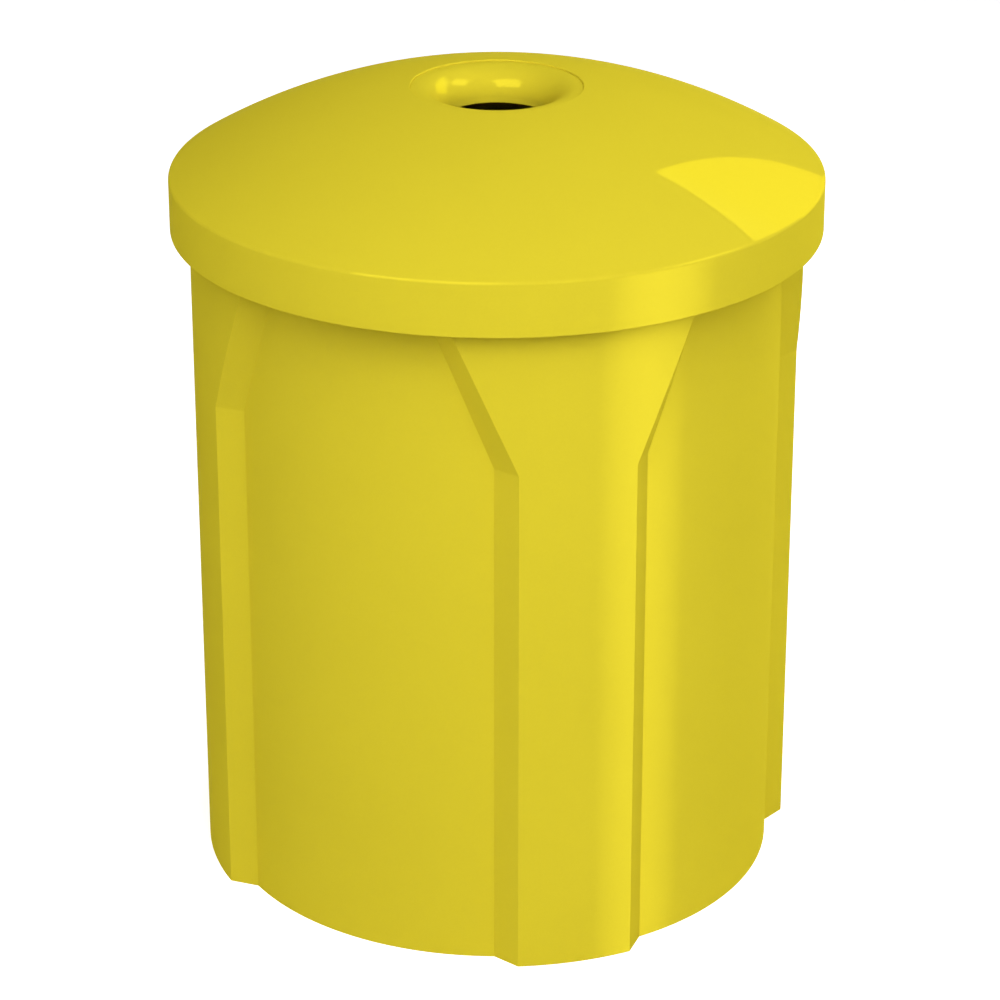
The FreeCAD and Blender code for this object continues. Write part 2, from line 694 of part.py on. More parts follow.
def strap_rivets():
    """Two rivets: a head on the strap, and a flat tail outside the liner's wall, at +X."""
    wall_outside = f"(liner_base_radius + {liner_slope} * ({rivet_height} - floor_height))"
    tail = f"(sqrt({wall_outside}^2 - (rivet_half_spacing - rivet_head_radius)^2) + rivet_tail_gap)"
    start = "(pad_face - strap_thickness)"
    pieces = []
    for i, side in enumerate(("rivet_half_spacing", "(0 - rivet_half_spacing)"), start=1):
        head = rod(f"rivet_head_{i}", "rivet_head_radius", "rivet_head_height")
        shank = rod(f"rivet_shank_{i}", "rivet_radius", f"{tail} - {start}")
        end = rod(f"rivet_tail_{i}", "rivet_head_radius", "rivet_head_height")
        for bar, x in ((head, f"{start} - rivet_head_height"), (shank, start), (end, tail)):
            place(bar, FreeCAD.Vector(0, 1, 0), "90", x=x, y=side, z=rivet_height)
        pieces.append(join(f"rivet_{i}", [head, shank, end]))
    return join("strap_rivets", pieces)


def handle_rod():
    """A closed loop of steel rod that hangs down from the strap, at +X. Drawn looking along X."""
    body = new_body("handle_loop")
    half, corner, drop = "handle_half_width", "handle_corner", "handle_reach"
    top, bottom = pivot_height, f"({pivot_height} - {drop})"
    path = draw(body, "LoopPath", "YZ_Plane", [
        (f"{corner} - {half}", top),
        (f"{half} - {corner}", top, corner, 1),
        (half, f"{top} - {corner}"),
        (half, f"{bottom} + {corner}", corner, 1),
        (f"{half} - {corner}", bottom),
        (f"{corner} - {half}", bottom, corner, 1),
        (f"(0 - {half})", f"{bottom} + {corner}"),
        (f"(0 - {half})", f"{top} - {corner}", corner, 1),
    ], height=pivot_reach)
    section = circle(body, "RodSection", "XZ_Plane", pivot_reach, top, "rod_radius")
    loop = body.newObject("PartDesign::AdditivePipe", "Loop")
    loop.Profile = section
    loop.Spine = path
    body.Tip = loop
    return body


def handle_grip():
    """A plastic sleeve on the lower run of the handle, at +X."""
    body = new_body("grip_sleeve")
    bore, long = "(rod_radius + grip_fit)", "grip_half_length"
    inner = "(grip_radius - grip_chamfer)"
    outline = [
        (bore, f"(0 - {long})"), (inner, f"(0 - {long})"), ("grip_radius", f"grip_chamfer - {long}"),
        ("grip_radius", f"{long} - grip_chamfer"), (inner, long), (bore, long),
    ]
    turn(body, draw(body, "GripOutline", "XZ_Plane", outline))
    return place(body, FreeCAD.Vector(1, 0, 0), "-90", x=pivot_reach, z=f"{pivot_height} - handle_reach")


# ---------------------------------------------------------------- the receptacle

def build():
    nodes = {"outer_can": outer_can(), "anchor_washers": anchor_washers()}
    sets = {
        "can": tether_set("can", "can_wall", "90", "rib_radius", "can_height - tether_drop"),
        "lid": tether_set("lid", "lid_wall", tether_tilt, "tether_lid_radius",
                          dome_height("tether_lid_radius")),
    }
    for pieces in sets.values():
        nodes.update({piece.Label: piece for piece in pieces})
    nodes["lid_shell"] = lid_shell()
    nodes["funnel_insert"] = funnel_insert()
    nodes["funnel_screws"] = funnel_screws()
    nodes["liner_bucket"] = liner_bucket()
    for name, make in (("hinge_strap", hinge_strap), ("strap_rivets", strap_rivets),
                       ("handle_rod", handle_rod), ("handle_grip", handle_grip)):
        right = make()
        right.Label = name + "_right"
        nodes[right.Label] = right
        nodes[name + "_left"] = half_turned(name + "_left", right)
    return nodes


def write(nodes):
    """Checks every object of the document and every sub-part, then writes one STEP file each."""
    doc.recompute()
    failed = [o.Label for o in doc.Objects if {"Invalid", "Error"} & set(o.State)]
    if failed:
        raise RuntimeError(f"these objects did not build: {failed}")
    for name, thing in nodes.items():
        shape = thing.Shape
        if shape.isNull() or not shape.isValid() or not shape.Solids:
            raise RuntimeError(f"{name} has no valid solid")
    os.makedirs("parts", exist_ok=True)
    for name, thing in nodes.items():
        thing.Shape.exportStep(f"parts/{name}.step")
        print(f"{name}: {len(thing.Shape.Solids)} solid(s), {thing.Shape.Volume / 1000:.1f} cm3")


write(build())
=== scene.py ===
import math

import bmesh
import bpy
from mathutils import Matrix, Vector


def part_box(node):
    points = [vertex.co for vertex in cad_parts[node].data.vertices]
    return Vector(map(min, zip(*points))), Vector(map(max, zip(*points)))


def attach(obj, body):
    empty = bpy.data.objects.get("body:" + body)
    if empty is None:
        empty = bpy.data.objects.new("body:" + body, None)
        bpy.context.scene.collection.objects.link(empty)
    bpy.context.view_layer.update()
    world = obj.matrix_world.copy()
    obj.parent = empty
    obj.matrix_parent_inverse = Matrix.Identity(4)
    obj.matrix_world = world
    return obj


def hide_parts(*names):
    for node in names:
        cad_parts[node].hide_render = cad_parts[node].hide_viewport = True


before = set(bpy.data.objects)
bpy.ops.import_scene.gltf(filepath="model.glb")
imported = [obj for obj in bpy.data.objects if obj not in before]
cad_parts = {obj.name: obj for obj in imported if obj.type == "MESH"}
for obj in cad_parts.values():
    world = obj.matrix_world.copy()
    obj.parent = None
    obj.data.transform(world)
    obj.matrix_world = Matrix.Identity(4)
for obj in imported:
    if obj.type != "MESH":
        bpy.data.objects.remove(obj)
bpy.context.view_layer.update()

# A round yellow litter and recycling receptacle: a ribbed can, a domed lid with a funnel, and a grey
# liner with drop handles inside. Metres, +Z up, a rib on each of -Y, +X, +Y and -X.

MM = 0.001
ORIGIN = (0.0, 0.0, 0.0)
MERGE = 0.02 * MM               # points closer than this are one point
RIBS = 4

# Faces round each turned shape, and along its curves
CAN_COLUMNS = 360               # one per degree, so a whole number in each rib's quarter
LID_COLUMNS = 192
POST_COLUMNS = 48
BOLT_COLUMNS = 48
FITTING_COLUMNS = 32
ROD_SIDES = 20
ROD_CORNER_STEPS = 8
DOME_STEPS = 40
DOME_INSIDE_STEPS = 24
MOUTH_STEPS = 24
MOUTH_UNDER_STEPS = 12
PAD_STEPS = 12
BOLT_HEAD_STEPS = 10
RIVET_HEAD_STEPS = 8
SLEEVE_STEPS = 96
FLARE_ROWS = 9

# Sizes that the frame's boxes don't give, the same as the CAD model's
CAN_WALL = 5 * MM
RECESS_DEPTH = 20 * MM
RIM_OVERHANG = 8 * MM
RIM_DEPTH = 8 * MM
RIM_SLOPE = 7 * MM
BAND_HEIGHT = 10 * MM
PANEL_LEDGE = 12 * MM
FLARE_HEIGHT = 161 * MM
RIB_HALF_WIDTH = 56.7 * MM
RIB_TOP_HALF_WIDTH = 125.5 * MM
RIB_SIDE_SPREAD = 21.6 * MM
FLOOR_HEIGHT = 20 * MM
FLOOR_WALL = 6 * MM
ANCHOR_CIRCLE = 180 * MM
ANCHOR_HOLE = 7 * MM
ANCHOR_BOSS = 30 * MM
ANCHOR_BOSS_WALL = 6 * MM
ANCHOR_SEAT = 6 * MM
DRAIN_CIRCLE = 120 * MM
DRAIN_HOLE = 6 * MM
LID_WALL = 4.5 * MM
SKIRT_HEIGHT = 52.5 * MM
DOME_RADIUS = 604 * MM
MOUTH_GAP = 0.6 * MM
FLANGE = 5 * MM
LIP_WIDTH = 4 * MM
FUNNEL_WALL = 4 * MM
THROAT_RADIUS = 51.5 * MM
LEDGE_RADIUS = 74 * MM
LEDGE_THICKNESS = 4 * MM
GUSSETS = 8
GUSSET_THICKNESS = 5 * MM
GUSSET_REACH = 20 * MM
GUSSET_NIB = 14 * MM
NIB_CLEARANCE = 1.5 * MM
TETHER_INSET = 67.5 * MM
TETHER_DROP = 33 * MM
BOLT_RADIUS = 3 * MM
BOLT_HEAD = 8 * MM
BOLT_HEAD_HEIGHT = 3.5 * MM
CURVED_WALL_GAP = 0.2 * MM
WASHER_THICKNESS = 1.5 * MM
NUT_LENGTH = 8 * MM
LINER_WALL = 4 * MM
LINER_TAPER = 18 * MM
LINER_RIM_REACH = 8 * MM
LINER_RIM_DROP = 16 * MM
PAD_DEPTH = 14 * MM
PAD_HALF_WIDTH = 50 * MM
PAD_HEIGHT = 48 * MM
PAD_DROP = 8 * MM
ROD_RADIUS = 4 * MM
HANDLE_CORNER = 14 * MM
GRIP_PITCH = 6 * MM
GRIP_GROOVE = 1 * MM
RIVET_RADIUS = 3 * MM
RIVET_HEAD_HEIGHT = 2 * MM

# Sizes of details that are only in the visual model
KINK_HALF_HEIGHT = 1 * MM       # of the crease where the ribs begin to widen
FLOOR_RING_WIDTH = 15 * MM      # of the floor, next to the panels
FLANGE_GAP = 0.1 * MM           # left between the funnel's flange and the lid, so that a fine line shows
THREAD_CHAMFER = 0.5 * MM
SLEEVE_GAP = 0.1 * MM           # between sleeve and rod
SLEEVE_PLAIN_END = 6 * MM       # without rings
SLEEVE_LIP = 2.2 * MM
SLEEVE_FULL_FROM = 2 * MM       # from the sleeve's end to its full thickness

# Radii that edges are rounded to
CAN_EDGE = 1.6 * MM
RIM_UNDER_EDGE = 3 * MM
RIM_EDGE = 2.5 * MM
SKIRT_EDGE = 1.2 * MM
SHOULDER = 4 * MM
LID_MOUTH_EDGE = 1 * MM
GUSSET_EDGE = 0.8 * MM
FLANGE_EDGE = 0.5 * MM
THROAT_EDGE = 1.2 * MM
LINER_FOOT = 12 * MM
LINER_FOOT_INSIDE = 9 * MM
LINER_NECK = 2 * MM
LINER_RIM = 4 * MM
LINER_RIM_INSIDE = 1 * MM
LINER_RIM_END = 1.2 * MM
PAD_EDGE = 2.5 * MM
SLEEVE_EDGE = 1 * MM
SLEEVE_END = 0.6 * MM
RIVET_EDGE = 0.4 * MM


# ---------------------------------------------------------------- modelling helpers

def select_nothing():
    """Leaves edit mode and deselects everything."""
    if bpy.context.object and bpy.context.object.mode != "OBJECT":
        bpy.ops.object.mode_set(mode="OBJECT")
    bpy.ops.object.select_all(action="DESELECT")


def make_active(piece):
    select_nothing()
    piece.select_set(True)
    bpy.context.view_layer.objects.active = piece


def draw_outline(name, points):
    """A closed outline of points in the XZ plane, drawn from one vertex and left in edit mode."""
    select_nothing()
    bpy.ops.mesh.primitive_plane_add(size=MM)
    piece = bpy.context.object
    piece.name = name
    bpy.ops.object.mode_set(mode="EDIT")
    bpy.ops.mesh.select_all(action="SELECT")
    bpy.ops.mesh.merge(type="CENTER")
    bpy.ops.transform.translate(value=(points[0][0], 0, points[0][1]))
    for before, after in zip(points, points[1:] + points[:1]):
        step = (after[0] - before[0], 0, after[1] - before[1])
        bpy.ops.mesh.extrude_vertices_move(TRANSFORM_OT_translate={"value": step})
    bpy.ops.mesh.select_all(action="SELECT")
    bpy.ops.mesh.remove_doubles(threshold=MERGE)
    return piece


def spun(name, points, columns):
    """An outline turned once round the Z axis."""
    piece = draw_outline(name, points)
    bpy.ops.mesh.select_all(action="SELECT")
    bpy.ops.mesh.spin(steps=columns, angle=math.tau, center=ORIGIN, axis=(0, 0, 1))
    bpy.ops.mesh.select_all(action="SELECT")
    bpy.ops.mesh.remove_doubles(threshold=MERGE)
    bpy.ops.mesh.normals_make_consistent(inside=False)
    bpy.ops.object.mode_set(mode="OBJECT")
    return piece


def plate(name, points, thickness):
    """An outline in the XZ plane, filled and given a thickness across Y, about the plane."""
    piece = draw_outline(name, points)
    bpy.ops.mesh.select_all(action="SELECT")
    bpy.ops.mesh.edge_face_add()
    bpy.ops.transform.translate(value=(0, -thickness / 2, 0))
    bpy.ops.mesh.extrude_region_move(TRANSFORM_OT_translate={"value": (0, thickness, 0)})
    bpy.ops.mesh.select_all(action="SELECT")
    bpy.ops.mesh.normals_make_consistent(inside=False)
    bpy.ops.object.mode_set(mode="OBJECT")
    return piece


def round_corners(corners, steps=4):
    """The outline of (x, y) or (x, y, radius) corners, with an arc in place of each that has a radius."""
    points = []
    for i, corner in enumerate(corners):
        here = Vector(corner[:2])
        radius = corner[2] if len(corner) == 3 else 0
        if not radius:
            points.append(tuple(here))
            continue
        back = (Vector(corners[i - 1][:2]) - here).normalized()
        on = (Vector(corners[(i + 1) % len(corners)][:2]) - here).normalized()
        half = back.angle(on) / 2
        centre = here + (back + on).normalized() * radius / math.sin(half)
        first = here + back * radius / math.tan(half) - centre
        sweep = first.angle_signed(here + on * radius / math.tan(half) - centre)
        for k in range(steps + 1):
            turn = Matrix.Rotation(-sweep * k / steps, 2)
            points.append(tuple(centre + turn @ first))
    return points


def arc(centre, radius, start, end, steps):
    """Points on a circle, from one angle to another, in degrees."""
    angles = [math.radians(start + (end - start) * k / steps) for k in range(steps + 1)]
    return [(centre[0] + radius * math.cos(a), centre[1] + radius * math.sin(a)) for a in angles]


def bevelled(piece, width, angle, segments=3):
    """Rounds every edge sharper than an angle, and keeps the flat faces flat in the shading."""
    make_active(piece)
    bevel = piece.modifiers.new("soft_edges", "BEVEL")
    bevel.width = width
    bevel.segments = segments
    bevel.limit_method = "ANGLE"
    bevel.angle_limit = math.radians(angle)
    bevel.miter_outer = "MITER_ARC"
    bpy.ops.object.modifier_apply(modifier=bevel.name)
    return shaded(piece)


def shaded(piece, angle=35):
    """Smooth shading up to an angle, with the flat faces kept flat."""
    make_active(piece)
    bpy.ops.object.shade_smooth_by_angle(angle=math.radians(angle))
    weights = piece.modifiers.new("flat_faces_flat", "WEIGHTED_NORMAL")
    weights.keep_sharp = True
    weights.weight = 80
    bpy.ops.object.modifier_apply(modifier=weights.name)
    return piece


def cut_or_add(piece, tool, operation):
    """Joins a tool to a piece, or takes it away, and removes the tool."""
    make_active(piece)
    change = piece.modifiers.new("change", "BOOLEAN")
    change.operation = operation
    change.solver = "EXACT"
    change.object = tool
    bpy.ops.object.modifier_apply(modifier=change.name)
    bpy.data.objects.remove(tool)
    return piece


def ring_of(piece, count, first_turn=0.0):
    """Copies a piece round the Z axis and joins the copies to it."""
    copies = []
    for i in range(count):
        copy = piece.copy()
        copy.data = piece.data.copy()
        copy.data.transform(Matrix.Rotation(math.tau * i / count + math.radians(first_turn), 4, "Z"))
        bpy.context.collection.objects.link(copy)
        copies.append(copy)
    bpy.data.objects.remove(piece)
    return joined(copies)


def joined(pieces):
    """Several meshes as one."""
    select_nothing()
    for piece in pieces:
        piece.select_set(True)
    bpy.context.view_layer.objects.active = pieces[0]
    bpy.ops.object.join()
    return bpy.context.object


def post(radius, bottom, top, reach):
    """An upright cylinder on the X axis, for holes and bosses."""
    select_nothing()
    bpy.ops.mesh.primitive_cylinder_add(vertices=POST_COLUMNS, radius=radius, depth=top - bottom,
                                        location=(reach, 0, (bottom + top) / 2))
    bpy.ops.object.transform_apply(location=True, rotation=True, scale=True)
    return bpy.context.object


# ---------------------------------------------------------------- materials

def linear(hex_colour, alpha=1.0):
    """An sRGB hex colour as linear values."""
    parts = [int(hex_colour[i:i + 2], 16) / 255 for i in (1, 3, 5)]
    return tuple(c / 12.92 if c <= 0.04045 else ((c + 0.055) / 1.055) ** 2.4 for c in parts) + (alpha,)


def add(tree, kind, inputs=None, **settings):
    """Adds a node. An input is a value, or an output socket that it is linked to."""
    node = tree.nodes.new(kind)
    for name, value in settings.items():
        setattr(node, name, value)
    for name, value in (inputs or {}).items():
        if isinstance(value, bpy.types.NodeSocket):
            tree.links.new(value, node.inputs[name])
        else:
            node.inputs[name].default_value = value
    return node


def new_material(name):
    """An empty material with its shader, and the object's own coordinates."""
    material = bpy.data.materials.new(name)
    material.use_nodes = True
    tree = material.node_tree
    tree.nodes.clear()
    place = add(tree, "ShaderNodeTexCoord").outputs["Object"]
    shader = add(tree, "ShaderNodeBsdfPrincipled")
    add(tree, "ShaderNodeOutputMaterial", {"Surface": shader.outputs["BSDF"]})
    return material, tree, place, shader


def ramp(tree, factor, low, high, out_low, out_high):
    """Carries a factor from one range to another."""
    return add(tree, "ShaderNodeMapRange", {
        "Value": factor, "From Min": low, "From Max": high, "To Min": out_low, "To Max": out_high,
    }).outputs["Result"]


def moulded_polyethylene(name, light, deep, roughness, level, tint, lustre=0.0):
    """Rotationally moulded polyethylene. Powder melts against a warm steel mould, so the skin is smooth
    and shiny, with a faint orange peel a few millimetres across, slow waves from cooling, and a slightly
    uneven colour where the pigment has settled. The lustre is the share of the shine that takes the
    pigment's own colour. The powder's grain is really finer than this, and is drawn coarse to show."""
    material, tree, place, shader = new_material(name)
    cloud = add(tree, "ShaderNodeTexNoise", {"Vector": place, "Scale": 1 / (180 * MM), "Detail": 3.0})
    powder = add(tree, "ShaderNodeTexNoise", {"Vector": place, "Scale": 1 / (1.6 * MM), "Detail": 1.0})
    mottle = ramp(tree, cloud.outputs["Fac"], 0.3, 0.7, 0.0, 0.5)
    speck = ramp(tree, powder.outputs["Fac"], 0.35, 0.65, 0.0, 0.3)
    blend = add(tree, "ShaderNodeMath", {0: mottle, 1: speck}, operation="ADD")
    colour = add(tree, "ShaderNodeMix", {
        "Factor": blend.outputs[0], "A": linear(light), "B": linear(deep),
    }, data_type="RGBA")
    # Rubbing where the moulding has been handled leaves slightly duller patches
    rub = add(tree, "ShaderNodeTexNoise", {"Vector": place, "Scale": 1 / (60 * MM), "Detail": 5.0})
    dull = ramp(tree, rub.outputs["Fac"], 0.45, 0.75, roughness, roughness + 0.04)
    peel = add(tree, "ShaderNodeTexNoise", {"Vector": place, "Scale": 1 / (3.5 * MM), "Detail": 2.0})
    wave = add(tree, "ShaderNodeTexNoise", {"Vector": place, "Scale": 1 / (70 * MM), "Detail": 1.0})
    slow = add(tree, "ShaderNodeBump", {
        "Height": wave.outputs["Fac"], "Strength": 0.1, "Distance": 0.4 * MM,
    })
    fine = add(tree, "ShaderNodeBump", {
        "Height": peel.outputs["Fac"], "Strength": 0.05, "Distance": 0.02 * MM,
        "Normal": slow.outputs["Normal"],
    })
    tree.links.new(colour.outputs["Result"], shader.inputs["Base Color"])
    tree.links.new(dull, shader.inputs["Roughness"])
    tree.links.new(fine.outputs["Normal"], shader.inputs["Normal"])
    shader.inputs["IOR"].default_value = 1.51
    shader.inputs["Specular IOR Level"].default_value = level
    shader.inputs["Specular Tint"].default_value = linear(tint)
    shader.inputs["Metallic"].default_value = lustre
    return material


def plated_steel(name, bright, dull, roughness, grain_mm):
    """Steel under bright zinc, or stainless steel: a hard metal shine, broken by a fine grain and by
    cloudy patches."""
    material, tree, place, shader = new_material(name)
    cloud = add(tree, "ShaderNodeTexNoise", {"Vector": place, "Scale": 1 / (6 * MM), "Detail": 4.0})
    grain = add(tree, "ShaderNodeTexNoise", {
        "Vector": place, "Scale": 1 / (grain_mm * MM), "Detail": 2.0,
    })
    colour = add(tree, "ShaderNodeMix", {
        "Factor": cloud.outputs["Fac"], "A": linear(bright), "B": linear(dull),
    }, data_type="RGBA")
    shine = ramp(tree, cloud.outputs["Fac"], 0.3, 0.7, roughness, roughness + 0.15)
    skin = add(tree, "ShaderNodeBump", {
        "Height": grain.outputs["Fac"], "Strength": 0.2, "Distance": 0.03 * MM,
    })
    tree.links.new(colour.outputs["Result"], shader.inputs["Base Color"])
    tree.links.new(shine, shader.inputs["Roughness"])
    tree.links.new(skin.outputs["Normal"], shader.inputs["Normal"])
    shader.inputs["Metallic"].default_value = 1.0
    return material


def dipped_vinyl(name, colour_hex, worn_hex):
    """Soft vinyl sleeve: dark, nearly matt, with a fine leathery pebble and paler rubbed spots."""
    material, tree, place, shader = new_material(name)
    pebble = add(tree, "ShaderNodeTexVoronoi", {"Vector": place, "Scale": 1 / (1.2 * MM)})
    rub = add(tree, "ShaderNodeTexNoise", {"Vector": place, "Scale": 1 / (12 * MM), "Detail": 4.0})
    worn = ramp(tree, rub.outputs["Fac"], 0.55, 0.8, 0.0, 1.0)
    colour = add(tree, "ShaderNodeMix", {
        "Factor": worn, "A": linear(colour_hex), "B": linear(worn_hex),
    }, data_type="RGBA")
    skin = add(tree, "ShaderNodeBump", {
        "Height": pebble.outputs["Distance"], "Strength": 0.4, "Distance": 0.1 * MM,
    })
    tree.links.new(colour.outputs["Result"], shader.inputs["Base Color"])
    tree.links.new(skin.outputs["Normal"], shader.inputs["Normal"])
    shader.inputs["Roughness"].default_value = 0.55
    return material


# ---------------------------------------------------------------- can

def rib_angles(height, flare_start, band_bottom, radius):
    """Half angles of a rib's outer corner and of its foot in the panel, at a height."""
    part = min(max((height - flare_start) / (band_bottom - flare_start), 0), 1)
    half_width = RIB_HALF_WIDTH + (RIB_TOP_HALF_WIDTH - RIB_HALF_WIDTH) * part
    corner = math.asin(half_width / radius)
    foot = corner + math.asin(RIB_SIDE_SPREAD / (radius - RECESS_DEPTH))
    return corner, foot


def form_ribs(piece, outer, band_bottom, flare_start):
    """Moves the wall's columns to the ribs' corners, and sets the panels back."""
    slant = (math.hypot(RECESS_DEPTH, RIB_SIDE_SPREAD) - RIB_SIDE_SPREAD) / RECESS_DEPTH
    columns = CAN_COLUMNS // RIBS // 2
    corner_column = round(math.degrees(math.asin(RIB_HALF_WIDTH / outer)))
    mesh = bmesh.new()
    mesh.from_mesh(piece.data)
    for vertex in mesh.verts:
        radius = math.hypot(vertex.co.x, vertex.co.y)
        if radius < outer - 1.1 * CAN_WALL:
            continue
        depth = CAN_WALL if radius < outer - CAN_WALL / 2 else 0
        turn = math.atan2(vertex.co.y, vertex.co.x)
        quarter = round(turn / (math.pi / 2)) * math.pi / 2
        column = round(math.degrees(turn - quarter) * CAN_COLUMNS / 360)
        side, column = (1 if column >= 0 else -1), abs(column)
        corner, foot = rib_angles(vertex.co.z, flare_start, band_bottom, outer)
        corner -= math.asin(depth * slant / outer)
        foot -= math.asin(depth * slant / (outer - RECESS_DEPTH))
        if column <= corner_column:
            angle = corner * column / corner_column
        else:
            share = (column - corner_column - 1) / (columns - corner_column - 1)
            angle = foot + (math.pi / 4 - foot) * share
            rise = depth * (math.hypot(RECESS_DEPTH, PANEL_LEDGE) - PANEL_LEDGE) / RECESS_DEPTH
            inwards = (band_bottom + rise - vertex.co.z) / PANEL_LEDGE
            radius -= RECESS_DEPTH * min(max(inwards, 0), 1)
        turn = quarter + side * angle
        vertex.co.x = radius * math.cos(turn)
        vertex.co.y = radius * math.sin(turn)
    mesh.to_mesh(piece.data)
    mesh.free()
    return piece


def can_body():
    """The one-piece can: wall with ribs and panels, rim, floor, anchor bosses and drains."""
    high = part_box("outer_can")[1]
    rim_radius, height = high.x, high.z
    outer = rim_radius - RIM_OVERHANG
    inner = outer - CAN_WALL
    band_top = height - RIM_DEPTH - RIM_SLOPE
    band_bottom = band_top - BAND_HEIGHT
    panel_top = band_bottom - PANEL_LEDGE
    flare_start = band_bottom - FLARE_HEIGHT
    rise = CAN_WALL * (math.hypot(RECESS_DEPTH, PANEL_LEDGE) - PANEL_LEDGE) / RECESS_DEPTH
    heights = [flare_start - KINK_HALF_HEIGHT, flare_start + KINK_HALF_HEIGHT]
    heights += [flare_start + (panel_top - flare_start) * k / FLARE_ROWS for k in range(1, FLARE_ROWS)]
    outside = [(outer, 0)] + [(outer, z) for z in heights] + [
        (outer, panel_top),
        (outer, band_bottom),
        (outer, band_top),
        (rim_radius, height - RIM_DEPTH, RIM_UNDER_EDGE),
        (rim_radius, height, RIM_EDGE),
    ]
    inside = [(inner, height, RIM_EDGE), (inner, band_bottom + rise), (inner, panel_top + rise)]
    inside += [(inner, z) for z in reversed(heights)]
    floor_reach = outer - RECESS_DEPTH - FLOOR_RING_WIDTH
    can_floor = [
        (inner, FLOOR_HEIGHT),
        (floor_reach, FLOOR_HEIGHT),
        (0, FLOOR_HEIGHT),
        (0, FLOOR_HEIGHT - FLOOR_WALL),
        (floor_reach, FLOOR_HEIGHT - FLOOR_WALL),
        (inner, FLOOR_HEIGHT - FLOOR_WALL),
        (inner, 0),
    ]
    piece = spun("can_body", round_corners(outside + inside + can_floor), CAN_COLUMNS)
    form_ribs(piece, outer, band_bottom, flare_start)
    bosses = ring_of(post(ANCHOR_BOSS, 0, FLOOR_HEIGHT - MM, ANCHOR_CIRCLE), RIBS, 45)
    cut_or_add(piece, bosses, "UNION")
    pockets = ring_of(post(ANCHOR_BOSS - ANCHOR_BOSS_WALL, ANCHOR_SEAT, 2 * FLOOR_HEIGHT,
                           ANCHOR_CIRCLE), RIBS, 45)
    cut_or_add(piece, pockets, "DIFFERENCE")
    for hole, circle, first_turn in ((ANCHOR_HOLE, ANCHOR_CIRCLE, 45), (DRAIN_HOLE, DRAIN_CIRCLE, 0)):
        holes = ring_of(post(hole, -FLOOR_HEIGHT, 2 * FLOOR_HEIGHT, circle), RIBS, first_turn)
        cut_or_add(piece, holes, "DIFFERENCE")
    return bevelled(piece, CAN_EDGE, 24)


# ---------------------------------------------------------------- lid

def dome_height(radius, shoulder, lid_radius, inset=0.0):
    """The height of the dome, or of the wall under it, at a distance from the axis."""
    centre = shoulder - math.sqrt(DOME_RADIUS ** 2 - lid_radius ** 2)
    return centre + math.sqrt((DOME_RADIUS - inset) ** 2 - radius ** 2)


def lid_body():
    """Skirt, dome and ledge in one, with the gussets that sit on the can's rim."""
    low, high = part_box("lid_shell")
    funnel_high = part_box("funnel_insert")[1]
    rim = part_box("outer_can")[1]
    radius, bottom, shoulder = high.x, low.z, low.z + SKIRT_HEIGHT
    mouth = funnel_high.x + MOUTH_GAP
    flange_bottom = funnel_high.z - FLANGE
    ledge_bottom = flange_bottom - LEDGE_THICKNESS
    inner, thick = radius - LID_WALL, mouth + LID_WALL

    def dome(start, end, steps, inset=0.0):
        radii = [start + (end - start) * k / steps for k in range(steps + 1)]
        return [(r, dome_height(r, shoulder, radius, inset)) for r in radii]

    outside = dome(radius, mouth, DOME_STEPS)
    outline = [(radius, bottom, SKIRT_EDGE), outside[0] + (SHOULDER,)] + outside[1:-1]
    outline += [
        (mouth, outside[-1][1], LID_MOUTH_EDGE),
        (mouth, flange_bottom),
        (LEDGE_RADIUS, flange_bottom),
        (LEDGE_RADIUS, ledge_bottom),
        (thick, ledge_bottom),
    ]
    outline += dome(thick, inner, DOME_INSIDE_STEPS, LID_WALL)
    outline += [(inner, bottom, SKIRT_EDGE)]
    piece = spun("lid_body", round_corners(outline), LID_COLUMNS)

    nib, in_wall = rim.x + NIB_CLEARANCE, radius - LID_WALL / 2
    tip = rim.x - GUSSET_REACH
    web = plate("gusset", [
        (nib, rim.z - GUSSET_NIB),
        (in_wall, rim.z - GUSSET_NIB),
        (in_wall, dome_height(in_wall, shoulder, radius, LID_WALL / 2)),
        (tip, dome_height(tip, shoulder, radius, LID_WALL / 2)),
        (tip, rim.z),
        (nib, rim.z),
    ], GUSSET_THICKNESS)
    webs = ring_of(bevelled(web, GUSSET_EDGE, 30, 2), GUSSETS)
    return joined([shaded(piece), webs])


def funnel():
    """The funnel's flange, its curved mouth and the short straight throat."""
    low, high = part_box("funnel_insert")
    curve = high.x - LIP_WIDTH - THROAT_RADIUS
    centre = (high.x - LIP_WIDTH, high.z - curve)
    under = math.degrees(math.asin((curve - FLANGE) / (curve - FUNNEL_WALL)))
    edge = high.x + MOUTH_GAP - FLANGE_GAP
    outline = [(edge, high.z - FLANGE), (edge, high.z, FLANGE_EDGE)]
    outline += arc(centre, curve, 90, 180, MOUTH_STEPS)
    outline += [(THROAT_RADIUS, low.z, THROAT_EDGE), (THROAT_RADIUS + FUNNEL_WALL, low.z, THROAT_EDGE)]
    outline += arc(centre, curve - FUNNEL_WALL, 180, 180 - under, MOUTH_UNDER_STEPS)
    return shaded(spun("funnel", round_corners(outline), LID_COLUMNS))


# ---------------------------------------------------------------- tether bolts

